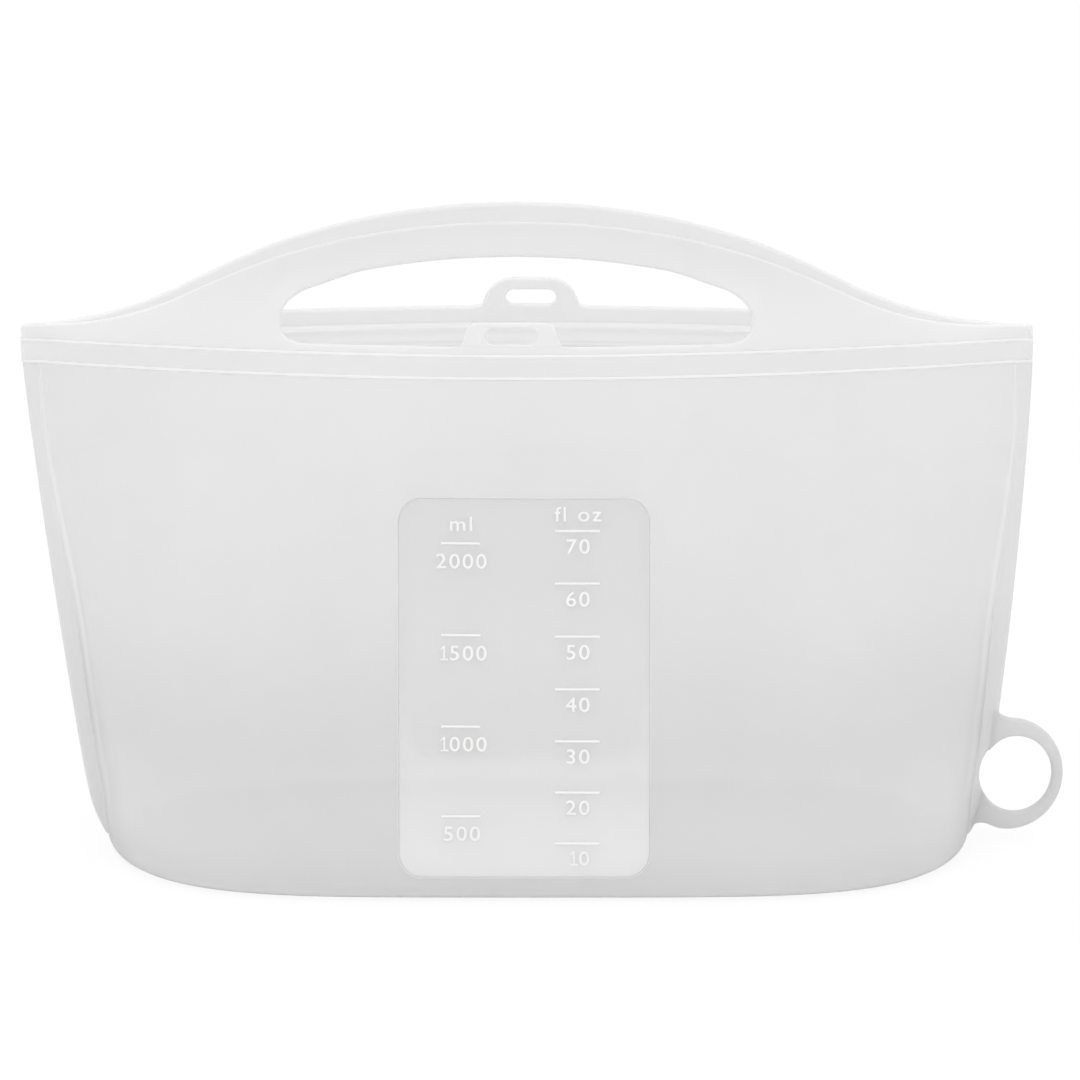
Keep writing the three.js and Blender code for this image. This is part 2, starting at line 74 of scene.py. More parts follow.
# (distance from the middle of the handle, height over the seam)
ARCH = [(0, 35.3), (16, 34.7), (32, 32.9), (48, 29.9), (64, 25.4), (72, 22.4), (80, 19.0),
        (88, 15.3), (96, 11.6), (104, 8.6), (112, 6.4), (120, 4.9), (128, 4.1), (140, 3.6),
        (160, 3.4)]
# rounded bottom edge: (inset from the wall, height), going down
FOOT = np.array([(0, 6.2), (0.1, 4.6), (0.36, 3.2), (0.9, 1.95), (1.75, 0.95), (2.9, 0.28),
                 (4.3, 0.0)])

WINDOW_X, WINDOW_HALF_W = -3.8, 34.3
WINDOW_Z0, WINDOW_Z1, WINDOW_R = 7.4, 109.0, 6.6

# hanging ring: ellipses (centre x, centre z, radius x, radius z)
RING_Z = 19.9
RING_OUTER = (134.5, RING_Z, 15.3, 16.75)
RING_HOLE = (136.3, RING_Z, 10.3, 11.5)


def curve(table):
    """Smooth curve through (place, value) stations, held beyond its ends."""
    places, values = np.array(table, float).T
    slopes = np.empty(len(places))
    slopes[0] = (values[1] - values[0]) / (places[1] - places[0])
    slopes[-1] = (values[-1] - values[-2]) / (places[-1] - places[-2])
    slopes[1:-1] = (values[2:] - values[:-2]) / (places[2:] - places[:-2])

    def value_at(place):
        place = np.clip(np.asarray(place, float), places[0], places[-1])
        i = np.clip(np.searchsorted(places, place, side="right") - 1, 0, len(places) - 2)
        gap = places[i + 1] - places[i]
        s = (place - places[i]) / gap
        return ((2 * s**3 - 3 * s**2 + 1) * values[i]
                + (s**3 - 2 * s**2 + s) * slopes[i] * gap
                + (-2 * s**3 + 3 * s**2) * values[i + 1]
                + (s**3 - s**2) * slopes[i + 1] * gap)

    return value_at


depth, half_width, arch_height = curve(DEPTH), curve(WIDTH), curve(ARCH)


def smooth(value, start, end):
    share = np.clip((np.asarray(value, float) - start) / (end - start), 0, 1)
    return share * share * (3 - 2 * share)


def run_lengths(points):
    """Distance along an open polyline, at each of its points."""
    return np.concatenate([[0], np.cumsum(np.hypot(*np.diff(points, axis=0).T))])


def wall_half_width(z):
    """Half width of the walls: a flange's width inside the edge, flush with it at the mouth."""
    flange_w = 2.5 + 2.0 * smooth(z, 4, 16)
    return half_width(z) - flange_w * (1 - smooth(z, 60, Z_BAND))


def end_y(z):
    """Half depth at which a wall runs out into the side flange."""
    return 1.42 + 1.1 * (1 - smooth(z, 50, 125))


def height_share(z):
    return np.clip(np.asarray(z, float) / Z_SEAM, 0, 1)


def centre_x(z):
    return -3.1 * height_share(z) ** 1.5


def inner_power(z):
    return 1.8 + 3.2 * (1 - height_share(z)) ** 1.2


def outer_power(z):
    return 0.526 + 0.474 * height_share(z) ** 1.3


def bow(share, z):
    """Half depth of a wall at a share of its half width."""
    span = 1 - np.minimum(1, np.abs(share)) ** inner_power(z)
    return depth(z) * np.maximum(0, span) ** outer_power(z)


def lip_y(x, z):
    """Outer half depth of the mouth, with a rounded tip where front and rear meet."""
    away = np.abs(x - centre_x(z))
    y = depth(z) * np.maximum(0, 1 - np.minimum(1, away / half_width(z)) ** 1.8)
    y = np.maximum(y, FLANGE_HALF)
    tip = half_width(z) - FLANGE_HALF
    past = np.clip((away - tip) / FLANGE_HALF, 0, 1)
    nose = FLANGE_HALF * np.sqrt(np.maximum(0, 1 - past**2))
    return np.where(away > tip, np.minimum(y, nose), y)


def slack(x, z, side):
    """Slack of the soft walls: slow, shallow waves that die out at the edges."""
    fade = (smooth(z, 8, 40) * (1 - smooth(z, 112, 139))
            * (1 - smooth(np.abs(x), 88, 122)))
    waves = (0.55 * np.sin(x / 37.0 + 0.6 * side + z / 61.0)
             + 0.35 * np.sin(z / 19.0 + x / 55.0 + 1.9 * side)
             + 0.25 * np.sin(x / 21.0 - z / 33.0 + 2.3 * side))
    return fade * waves


# ------------------------------------------------------------------ surfaces
# A wall is a table: even steps of arc length across (-ACROSS to ACROSS), height up.
ACROSS = 140
COLUMNS, ROWS = 361, 136
TABLE_Z = np.linspace(-0.5, 142.0, ROWS)


def wall_table():
    table_x, table_y = np.zeros((ROWS, COLUMNS)), np.zeros((ROWS, COLUMNS))
    for i, z in enumerate(TABLE_Z):
        end = (1 - (end_y(z) / depth(z)) ** (1 / outer_power(z))) ** (1 / inner_power(z))
        share = np.sin(np.linspace(-math.asin(end), math.asin(end), 4001))
        x, y = centre_x(z) + share * wall_half_width(z), bow(share, z)
        run = run_lengths(np.stack([x, y], 1))
        even = np.linspace(0, run[-1], COLUMNS)
        table_x[i], table_y[i] = np.interp(even, run, x), np.interp(even, run, y)
    return table_x, table_y


WALL_X, WALL_Y = wall_table()

FOOT_RUN = run_lengths(FOOT)
foot_inset = curve(np.stack([FOOT_RUN, FOOT[:, 0]], 1))
foot_z = curve(np.stack([FOOT_RUN, FOOT[:, 1]], 1))
Z_END = Z_RIM - float(FOOT_RUN[-1])


def cell(position, stations):
    """Table cell of a position counted in stations, and the share of the cell passed."""
    index = np.clip(position.astype(int), 0, stations - 2)
    return index, position - index


def height_cell(z):
    low, high = TABLE_Z[0], TABLE_Z[-1]
    return cell((np.clip(z, low, high) - low) / (high - low) * (ROWS - 1), ROWS)


def wall_surface(side, slackness=1.0):
    """Outer surface of a wall as a function of (across, z).

    Below Z_RIM the second coordinate goes on round the bottom edge, down to Z_END.
    """
    def upright(across, z):
        i, up = height_cell(z)
        j, over = cell((np.clip(across, -ACROSS, ACROSS) / (2 * ACROSS) + 0.5)
                       * (COLUMNS - 1), COLUMNS)

        def look_up(table):
            return (table[i, j] * (1 - up) * (1 - over) + table[i + 1, j] * up * (1 - over)
                    + table[i, j + 1] * (1 - up) * over + table[i + 1, j + 1] * up * over)

        x, y = look_up(WALL_X), look_up(WALL_Y)
        return np.stack([x, side * (y + slackness * slack(x, z, side)), z], -1)

    def surface(across, z):
        points = upright(across, np.maximum(z, Z_RIM))
        low = z < Z_RIM
        if low.any():
            across_low, z_low = across[low], np.full(int(low.sum()), Z_RIM)
            along = (upright(np.minimum(across_low + 0.8, ACROSS), z_low)
                     - upright(np.maximum(across_low - 0.8, -ACROSS), z_low))
            normal = np.stack([-along[:, 1], along[:, 0]], 1) * side
            normal /= np.linalg.norm(normal, axis=1, keepdims=True)
            down = Z_RIM - z[low]
            foot = points[low]
            beyond = np.maximum(down - FOOT_RUN[-1], 0)
            foot[:, :2] -= normal * (foot_inset(down) + beyond)[:, None]
            foot[:, 2] = foot_z(down)
            points[low] = foot
        return points

    return surface


def across_of(x, z):
    """Across coordinate of the wall's points at x and z."""
    i, up = height_cell(z)
    rows = WALL_X[i] * (1 - up)[:, None] + WALL_X[i + 1] * up[:, None]
    stations = np.linspace(-ACROSS, ACROSS, COLUMNS)
    return np.array([np.interp(place, row, stations) for place, row in zip(x, rows)])


def lip_surface(side):
    return lambda x, z: np.stack([x, side * lip_y(x, z), z], -1)


def normals(surface, across, z, side, reach=0.35):
    over = surface(across + reach, z) - surface(across - reach, z)
    up = surface(across, z + reach) - surface(across, z - reach)
    normal = np.cross(over, up)
    normal /= np.maximum(np.linalg.norm(normal, axis=-1, keepdims=True), 1e-9)
    return normal * -side


# ------------------------------------------------------------------ mesh helpers
def new_object(name, points, faces, materials, slots=None, shade_smooth=True, merge=2e-6):
    """Object from points in mm; slots holds the material slot of each face."""
    mesh = bpy.data.meshes.new(name)
    bm = bmesh.new()
    verts = [bm.verts.new(point) for point in points * MM]
    for face, slot in zip(faces, slots or [SKIN] * len(faces)):
        try:
            bm.faces.new([verts[i] for i in face]).material_index = slot
        except ValueError:
            pass  # the same face may come up twice in the triangulated parts
    bmesh.ops.remove_doubles(bm, verts=bm.verts, dist=merge)
    bmesh.ops.dissolve_degenerate(bm, edges=bm.edges, dist=1e-7)
    loose = [vert for vert in bm.verts if not vert.link_faces]
    bmesh.ops.delete(bm, geom=loose, context="VERTS")
    bmesh.ops.recalc_face_normals(bm, faces=bm.faces)
    if bm.calc_volume(signed=True) < 0:
        bmesh.ops.reverse_faces(bm, faces=bm.faces)
    for face in bm.faces:
        face.smooth = shade_smooth
    for edge in bm.edges:
        if len(edge.link_faces) == 2 and edge.calc_face_angle(0) > math.radians(50):
            edge.smooth = False
    bm.to_mesh(mesh)
    bm.free()
    piece = bpy.data.objects.new(name, mesh)
    bpy.context.scene.collection.objects.link(piece)
    for material in materials:
        mesh.materials.append(material)
    return piece


def moulded(name, points, faces, materials, slots):
    """Smooth object with weighted normals."""
    piece = new_object(name, points, faces, materials, slots)
    modifier = piece.modifiers.new("wn", "WEIGHTED_NORMAL")
    modifier.weight = 50
    modifier.keep_sharp = True
    return piece


def ring_quads(first, second, size):
    """Quads joining two closed rings of points, given the number of each ring's first point."""
    return [(first + i, first + (i + 1) % size, second + (i + 1) % size, second + i)
            for i in range(size)]


def dense(loop, step):
    """Closed polyline resampled so that no side is longer than step; corners are kept."""
    out = []
    for i in range(len(loop)):
        start, end = np.array(loop[i], float), np.array(loop[(i + 1) % len(loop)], float)
        count = max(1, int(math.ceil(np.linalg.norm(end - start) / step)))
        out += [start + (end - start) * j / count for j in range(count)]
    out = np.array(out)
    return out[np.linalg.norm(out - np.roll(out, 1, axis=0), axis=1) > 1e-4]


def signed_area(loop):
    x, z = loop[:, 0], loop[:, 1]
    return 0.5 * np.sum(x * np.roll(z, -1) - np.roll(x, -1) * z)


def inside(points, loops):
    """Which points have an odd number of loop sides to their right."""
    odd = np.zeros(len(points), bool)
    x, z = points[:, 0], points[:, 1]
    for loop in loops:
        for (x0, z0), (x1, z1) in zip(loop, np.roll(loop, -1, axis=0)):
            if z0 != z1:
                odd ^= ((z0 > z) != (z1 > z)) & (x < (x1 - x0) * (z - z0) / (z1 - z0) + x0)
    return odd


def inward(loop):
    """Offset directions at the corners of an anticlockwise loop."""
    along = np.roll(loop, -1, axis=0) - loop
    along /= np.maximum(np.linalg.norm(along, axis=1, keepdims=True), 1e-9)
    normal = np.stack([-along[:, 1], along[:, 0]], 1)
    middle = normal + np.roll(normal, 1, axis=0)
    middle /= np.maximum(np.linalg.norm(middle, axis=1, keepdims=True), 1e-9)
    # keep the offset distance on corners, within reason
    return middle / np.clip(np.sum(middle * normal, axis=1, keepdims=True), 0.5, 1)


def region_triangles(points, borders):
    """Triangles that fill the region between border edges, as numbers into points."""
    _, edges, triangles, point_sources, edge_sources, _ = delaunay_2d_cdt(
        points, borders, [], 0, 1e-7)
    sources = [ids[0] if ids else None for ids in point_sources]
    fences = {frozenset(edge) for edge, ids in zip(edges, edge_sources) if ids}
    sides = [[frozenset((tri[i], tri[(i + 1) % 3])) for i in range(3)] for tri in triangles]
    neighbours = {}
    for number, tri_sides in enumerate(sides):
        for edge in tri_sides:
            neighbours.setdefault(edge, []).append(number)
    # flood from the outside: crossing a border swaps outside and inside
    filled, queue = {}, []
    for edge, numbers in neighbours.items():
        if len(numbers) == 1 and numbers[0] not in filled:
            filled[numbers[0]] = edge in fences
            queue.append(numbers[0])
    while queue:
        here = queue.pop()
        for edge in sides[here]:
            for other in neighbours[edge]:
                if other not in filled:
                    filled[other] = filled[here] != (edge in fences)
                    queue.append(other)
    found = [[sources[i] for i in tri] for number, tri in enumerate(triangles)
             if filled.get(number)]
    # a point made where borders cross has no source
    return [ids for ids in found if None not in ids]


def pillow(name, loops, surface, half, radius, materials, edge_step, grid_step=None,
           grid=None, offset=0.0, side=FRONT, arcs=4, hidden=None, lit=()):
    """Closed sheet over a flat region with holes, mapped on a surface, with rounded edges.

    loops: outer loop first, then holes, in the surface's own two coordinates.
    half(x, z): half thickness. radius(loop number, points): edge rounding.
    grid: the two axes of the inner points, or else grid_step: their spacing.
    offset: outer face above the surface. arcs: rings of points from edge to face.
    hidden(loop number, points): edges that butt against the next region (JOINT slot).
    lit: loops whose rounded edge takes the EDGE_HIGHLIGHT slot, with its painted highlight.
    """
    points, heights, faces, slots = [], [], [], []
    inner_loops, corners, borders, top_bottom = [], [], [], []
    count = 0
    for number, loop in enumerate(loops):
        loop = dense(loop, edge_step)
        if (signed_area(loop) > 0) != (number == 0):
            loop = loop[::-1].copy()
        size = len(loop)
        half_t = half(loop[:, 0], loop[:, 1])
        rounding = np.minimum(radius(number, loop), half_t)
        direction = inward(loop)
        joint = hidden(number, loop) if hidden else np.zeros(size, bool)
        joint = joint & np.roll(joint, -1)
        edge_slots = np.where(joint, JOINT, EDGE_HIGHLIGHT if number in lit else SKIN).tolist()
        starts = []
        for k in range(arcs):
            angle = math.pi / 2 * k / (arcs - 1)
            ring = loop + direction * (rounding * (1 - math.cos(angle)))[:, None]
            height = half_t - rounding + rounding * math.sin(angle)
            points += [ring, ring]
            heights += [height, -height]
            starts.append((count, count + size))
            count += 2 * size
        for (top, bottom), (next_top, next_bottom) in zip(starts, starts[1:]):
            for i in range(size):
                j = (i + 1) % size
                faces.append((top + i, top + j, next_top + j, next_top + i))
                faces.append((bottom + j, bottom + i, next_bottom + i, next_bottom + j))
                slots += [edge_slots[i]] * 2
        top, bottom = starts[0]
        faces += ring_quads(bottom, top, size)
        slots += edge_slots
        top, bottom = starts[-1]
        first = len(corners)
        corners += [Vector(point) for point in ring]
        top_bottom += [(top + i, bottom + i) for i in range(size)]
        borders += [(first + i, first + (i + 1) % size) for i in range(size)]
        inner_loops.append(ring)

    if grid is None:
        low, high = inner_loops[0].min(0), inner_loops[0].max(0)
        grid = [np.arange(low[k] + grid_step / 2, high[k], grid_step) for k in (0, 1)]
    field = np.stack(np.meshgrid(*grid), -1).reshape(-1, 2)
    field = field[inside(field, inner_loops)]
    rim = np.concatenate(inner_loops)
    distance = np.linalg.norm(field[:, None, :] - rim[None], axis=2).min(axis=1)
    field = field[distance > edge_step * 0.7]
    corners += [Vector(point) for point in field]
    top_bottom += [(count + i, count + len(field) + i) for i in range(len(field))]
    height = half(field[:, 0], field[:, 1])
    points += [field, field]
    heights += [height, -height]
    for ids in region_triangles(corners, borders):
        faces.append(tuple(top_bottom[i][0] for i in ids))
        faces.append(tuple(top_bottom[i][1] for i in reversed(ids)))
        slots += [SKIN, SKIN]

    across, z = np.concatenate(points).T.copy()
    lift = (np.concatenate(heights) - half(across, z)) + offset
    placed = surface(across, z) + normals(surface, across, z, side) * lift[:, None]
    return moulded(name, placed, faces, materials, slots)


def loft(name, sections, materials, strips, cap):
    """Closed sections joined in a row; strips: slot of each side strip, cap: of the ends."""
    rows, size = len(sections), len(sections[0])
    faces = []
    for row in range(rows - 1):
        faces += ring_quads(row * size, (row + 1) * size, size)
    faces.append(tuple(range(size - 1, -1, -1)))
    faces.append(tuple((rows - 1) * size + i for i in range(size)))
    slots = strips * (rows - 1) + [cap, cap]
    return moulded(name, np.concatenate(sections), faces, materials, slots)


def ellipse_point(ellipse, degrees):
    x, z, radius_x, radius_z = ellipse
    angle = math.radians(degrees)
    return np.array([x + radius_x * math.cos(angle), z + radius_z * math.sin(angle)])


def bezier(start, pull_start, pull_end, end, steps=12):
    t = np.linspace(0, 1, steps + 1)[:, None]
    a, b, c, d = map(np.array, (start, pull_start, pull_end, end))
    return (1 - t) ** 3 * a + 3 * (1 - t) ** 2 * t * b + 3 * (1 - t) * t**2 * c + t**3 * d


# ------------------------------------------------------------------ materials
def add_node(tree, kind, inputs=None, **settings):
    """New node; an input given a node or a socket is linked, any other is set."""
    node = tree.nodes.new("ShaderNode" + kind)
    for key, value in settings.items():
        setattr(node, key, value)
    for key, value in (inputs or {}).items():
        if isinstance(value, bpy.types.Node):
            value = value.outputs[0]
        if isinstance(value, bpy.types.NodeSocket):
            tree.links.new(value, node.inputs[key])
        else:
            node.inputs[key].default_value = value
    return node


def add_map(tree, value, source, target, **settings):
    """Map Range node from the source (min, max) to the target (min, max)."""
    inputs = {"Value": value, "From Min": source[0], "From Max": source[1],
              "To Min": target[0], "To Max": target[1]}
    return add_node(tree, "MapRange", inputs, **settings)


def empty_material(name):
    material = bpy.data.materials.new(name)
    material.use_nodes = True
    material.node_tree.nodes.clear()
    return material, material.node_tree


PAINTED_SHADING_TOP = 185.0    # height (mm) at the end of the painted shading ramp
PAINTED_SHADING_MAX = 1.3      # painted shading factors are stored as shares of this


def silicone(name, grey, face, edge, cloud, rough=0.5, glow=0.35, grain=0.12, coat=0.12,
             painted_shading=None, milk=None, rim=0.0):
    """Thin translucent silicone.

    face, edge: opacity seen square on and at a slant. cloud: unevenness of tint and opacity.
    glow: share of light let through diffusely. grain: strength of the frosting.
    painted_shading: painted light and shade by height, [(mm, factor)]. milk: (z from, z to,
    added opacity).
    rim: painted shade where the sheet is seen at a slant.
    """
    material, tree = empty_material(name)
    node, map_range = partial(add_node, tree), partial(add_map, tree)
    place = node("TexCoord").outputs["Object"]
    # slow cloudiness of the moulded sheet
    clouds = node("TexNoise", {"Scale": 22.0, "Detail": 3.0, "Vector": place})
    clouds = map_range(clouds, (0.3, 0.7), (-cloud, cloud))
    # fine frosting over a broader ripple
    frost = node("TexNoise", {"Scale": 2600.0, "Detail": 2.0, "Vector": place})
    ripple = node("TexNoise", {"Scale": 90.0, "Detail": 4.0, "Vector": place})
    relief = node("Math", {0: ripple, 1: 0.25, 2: frost}, operation="MULTIPLY_ADD")
    bump = node("Bump", {"Strength": grain, "Distance": 0.00012, "Height": relief})

    brightness = node("Math", {0: clouds, 1: 1.0}, operation="ADD")
    if painted_shading or milk:
        height = node("SeparateXYZ", {0: place}).outputs["Z"]
    # painted light and shade: brightness scaled by a ramp over height
    if painted_shading:
        share = map_range(height, (0.0, PAINTED_SHADING_TOP * MM), (0.0, 1.0))
        ramp = node("ValToRGB", {0: share})
        ramp.color_ramp.interpolation = "B_SPLINE"
        stops = ramp.color_ramp.elements
        while len(stops) < len(painted_shading):
            stops.new(0.5)
        # all stops are in place before any is coloured
        for stop, (z, _) in zip(stops, painted_shading):
            stop.position = z / PAINTED_SHADING_TOP
        for stop, (_, factor) in zip(stops, painted_shading):
            stop.color = (*[factor / PAINTED_SHADING_MAX] * 3, 1)
        factor = node("Math", {0: ramp, 1: PAINTED_SHADING_MAX}, operation="MULTIPLY")
        brightness = node("Math", {0: brightness, 1: factor}, operation="MULTIPLY")
    slant = node("LayerWeight", {"Blend": 0.35}).outputs["Facing"]
    # painted shade where the sheet is seen at a slant
    if rim:
        shade = map_range(slant, (0.30, 0.85), (1.0, 1.0 - rim),
                          interpolation_type="SMOOTHSTEP")
        brightness = node("Math", {0: brightness, 1: shade}, operation="MULTIPLY")
    tint = node("RGB")
    tint.outputs[0].default_value = (grey, grey, grey, 1)
    colour = node("HueSaturation", {"Value": brightness, "Color": tint})

    surface = node("BsdfPrincipled", {
        "Base Color": colour, "Roughness": rough, "IOR": 1.41, "Coat Weight": coat,
        "Coat Roughness": 0.35, "Normal": bump})
    through = node("BsdfTranslucent", {"Color": colour})
    body = node("MixShader", {0: glow, 1: surface, 2: through})
    # thin sheet: clearer when looked at square on, milkier at a slant
    opacity = map_range(slant, (0.0, 1.0), (face, edge))
    opacity = node("Math", {0: opacity, 1: clouds}, operation="ADD", use_clamp=True)
    if milk:
        z_from, z_to, added = milk
        haze = map_range(height, (z_from * MM, z_to * MM), (added, 0.0),
                         interpolation_type="SMOOTHSTEP")
        opacity = node("Math", {0: opacity, 1: haze}, operation="ADD", use_clamp=True)
    clear = node("BsdfTransparent", {"Color": (0.985, 0.985, 0.985, 1)})
    mix = node("MixShader", {0: opacity, 1: clear, 2: body})
    node("OutputMaterial", {"Surface": mix})
    return material


def invisible(name):
    """For faces where two regions of the one moulding meet: nothing is seen there."""
    material, tree = empty_material(name)
    add_node(tree, "OutputMaterial", {"Surface": add_node(tree, "BsdfTransparent")})
    return material


# painted shade: the walls are darker from just above the foot up to about 70 mm, and rim adds
# painted shade at a slant
M_BODY = silicone(
    "silicone_frosted_body", grey=0.896, face=0.56, edge=0.86, cloud=0.012, rim=0.2,
    painted_shading=[(0, 1.0), (3, 0.965), (7, 0.95), (12, 0.98), (18, 0.99), (30, 0.96), (42, 0.925),
          (55, 0.955), (70, 0.99), (90, 0.998), (120, 1.0)])
# painted light: the rear band is set a little lighter than the front one
M_BAND = {
    FRONT: silicone("silicone_zip_band", grey=0.90, face=0.62, edge=0.88, rough=0.45,
                    cloud=0.01),
    REAR: silicone("silicone_rear_band", grey=0.91, face=0.5, edge=0.75, glow=0.45,
                   cloud=0.008)}
# painted light and shade: the handles are lighter near the seam and darker towards the top of
# the arch; the rear copy is a little lighter than the front
M_HANDLE = {
    FRONT: silicone(
        "silicone_handle", grey=0.868, face=0.68, edge=0.9, cloud=0.01,
        painted_shading=[(0, 1.04), (148, 1.04), (157, 1.045), (168, 0.975), (176, 0.952),
              (184, 0.952)]),
    REAR: silicone(
        "silicone_rear_handle", grey=0.906, face=0.60, edge=0.88, glow=0.4, cloud=0.01,
        painted_shading=[(0, 1.0), (148, 1.0), (158, 1.0), (170, 0.967), (178, 0.947), (184, 0.942)])}
# painted light: the pane is brighter towards its foot, and milk makes it more opaque there
M_CLEAR = silicone(
    "silicone_clear_window", grey=0.832, face=0.5, edge=0.8, rough=0.22, glow=0.25,
    cloud=0.006, grain=0.03, coat=0.3, milk=(10, 48, 0.32),
    painted_shading=[(0, 1.09), (8, 1.098), (17, 1.103), (28, 1.08), (38, 1.08), (50, 1.068),
          (65, 1.038), (85, 1.01), (110, 1.0)])
# painted shade on the ring's lower half, painted light towards its top
M_SOLID = silicone(
    "silicone_solid", grey=0.74, face=0.85, edge=0.95, cloud=0.01,
    painted_shading=[(0, 1.0), (7, 0.995), (15, 0.965), (25, 1.0), (34, 1.03), (60, 1.03)])
# painted shade: the flanges are a touch darker between about 30 and 60 mm
M_FLANGE = silicone(
    "silicone_flange", grey=0.82, face=0.84, edge=0.95, cloud=0.01,
    painted_shading=[(0, 1.0), (12, 1.0), (30, 0.99), (45, 0.985), (60, 0.99), (80, 1.0), (120, 0.99)])
M_MARK = silicone("silicone_marks", grey=0.945, face=0.95, edge=0.98, rough=0.6, glow=0.14,
                  cloud=0.0)
# painted highlight: lighter, more opaque copies of the silicone for the raised lines and the
# window's edge
M_EDGE_HIGHLIGHT = silicone("silicone_edge_highlight", grey=0.912, face=0.8, edge=0.92, glow=0.3, cloud=0.0)
M_WINDOW_RIM_HIGHLIGHT = silicone("silicone_window_rim_highlight", grey=0.93, face=0.62, edge=0.86, cloud=0.0)
M_JOINT = invisible("silicone_inside")
BODY_SLOTS = [M_BODY, M_JOINT, M_WINDOW_RIM_HIGHLIGHT]


def sheet_slots(material):
    return [material, M_JOINT, M_EDGE_HIGHLIGHT]


# ------------------------------------------------------------------ walls and windows
WALL_END = 139.9                   # across coordinate where the walls meet the flanges
Z_WALL_TOP = Z_BAND - 0.01
PANE_HALF = 0.75                   # half thickness of the panes
PANE_OFFSET = -0.25                # outer face of a pane against the wall's surface


def window_loop(gap):
    """Rounded rectangle of the window, drawn in by a gap."""
    radius = WINDOW_R - gap
    left, right = WINDOW_X - WINDOW_HALF_W + gap, WINDOW_X + WINDOW_HALF_W - gap
    low, high = WINDOW_Z0 + gap, WINDOW_Z1 - gap
    corners = ((right - radius, low + radius, -90), (right - radius, high - radius, 0),
               (left + radius, high - radius, 90), (left + radius, low + radius, 180))
    outline = dense([ellipse_point((x, z, radius, radius), start + 90 * k / 10)
                     for x, z, start in corners for k in range(11)], 3.0)
    return np.stack([across_of(outline[:, 0], outline[:, 1]), outline[:, 1]], 1)


def wall_half(side):
    """Half thickness of a wall, thinned so that it never reaches the middle plane."""
    surface = wall_surface(side, 0.0)

    def half(across, z):
        point = surface(across, z)
        normal = normals(surface, across, z, side)
        room = (np.abs(point[:, 1]) - 0.06) / np.maximum(np.abs(normal[:, 1]), 0.25)
        return np.clip(room, 0.3, WALL_T) / 2

    return half


def wall_panel(side):
    outer = np.array([(-WALL_END, Z_END), (WALL_END, Z_END),
                      (WALL_END, Z_WALL_TOP), (-WALL_END, Z_WALL_TOP)])
    # closer points near the flanges and round the bottom edge
    grid_across = np.concatenate([np.arange(-138.6, -112, 1.4), np.arange(-111, 111.1, 3.0),
                                  np.arange(112.4, 138.7, 1.4)])
    grid_z = np.concatenate([np.arange(Z_END + 0.9, Z_RIM + 1.5, 0.9),
                             np.arange(Z_RIM + 3.0, Z_WALL_TOP - 1.0, 3.0)])
    return pillow(f"{SIDES[side]}_wall_skin", [outer, window_loop(0.0)], wall_surface(side),
                  wall_half(side), lambda number, points: 0.03 if number == 0 else 0.28,
                  BODY_SLOTS, edge_step=1.6, grid=(grid_across, grid_z), side=side,
                  hidden=lambda number, points: np.full(len(points), number == 0), lit=(1,))


def window_pane(side):
    return pillow(f"{SIDES[side]}_window_pane", [window_loop(0.05)], wall_surface(side),
                  lambda across, z: np.full_like(across, PANE_HALF),
                  lambda number, points: 0.2, sheet_slots(M_CLEAR), edge_step=1.8,
                  grid_step=3.0, offset=PANE_OFFSET, side=side)


walls = {side: wall_panel(side) for side in SIDES}
panes = {side: window_pane(side) for side in SIDES}

# ------------------------------------------------------------------ base
# rings of the base as (inset, height): underside going in, top face going out
BASE_UNDER = [(0.03, 0.0), (2.6, 0.0), (3.4, 0.3), (6.0, 0.3)]
BASE_OVER = [(6.0, 2.3), (3.0, 2.2), (0.03, 2.0)]


def foot_ring(inset, z):
    """Closed outline of the foot: along the front wall, then back along the rear one."""
    across = np.linspace(-WALL_END, WALL_END, 170)
    level = np.full(len(across), Z_END - inset)
    front, rear = (wall_surface(side, 0.0)(across, level) for side in SIDES)
    ring = np.concatenate([front, rear[::-1]])
    ring[:, 2] = z
    return ring


def base_floor():
    under = [foot_ring(*station) for station in BASE_UNDER]
    over = [foot_ring(*station) for station in BASE_OVER]
    under += [under[-1] * [share, share, 1] for share in (0.8, 0.5, 0.2)]
    over = [over[0] * [share, share, 1] for share in (0.2, 0.5, 0.8)] + over
    rings = under + over
    size, turn, last = len(rings[0]), len(under) - 1, len(rings) - 1
    faces, slots = [], []
    for k in range(len(rings)):
        if k != turn:
            faces += ring_quads(k * size, (k + 1) % len(rings) * size, size)
            slots += [JOINT if k == last else SKIN] * size
    # fans to a middle point close the underside and the top
    under_start, over_start, middle = turn * size, (turn + 1) * size, len(rings) * size
    for i in range(size):
        j = (i + 1) % size
        faces += [(under_start + i, under_start + j, middle),
                  (over_start + j, over_start + i, middle + 1)]
        slots += [SKIN, SKIN]
    middles = [(0, 0, BASE_UNDER[-1][1]), (0, 0, BASE_OVER[0][1])]
    return moulded("base_floor", np.concatenate(rings + [middles]), faces, BODY_SLOTS, slots)


base = base_floor()


# ------------------------------------------------------------------ side flanges
def hole_left(z):
    """Left edge of the ring's hole, or far away at heights clear of it."""
    x, centre_z, radius_x, radius_z = RING_HOLE
    rise = np.clip(1 - ((z - centre_z) / radius_z) ** 2, 0, 1)
    return np.where(np.abs(z - centre_z) < radius_z, x - radius_x * np.sqrt(rise), 1e3)


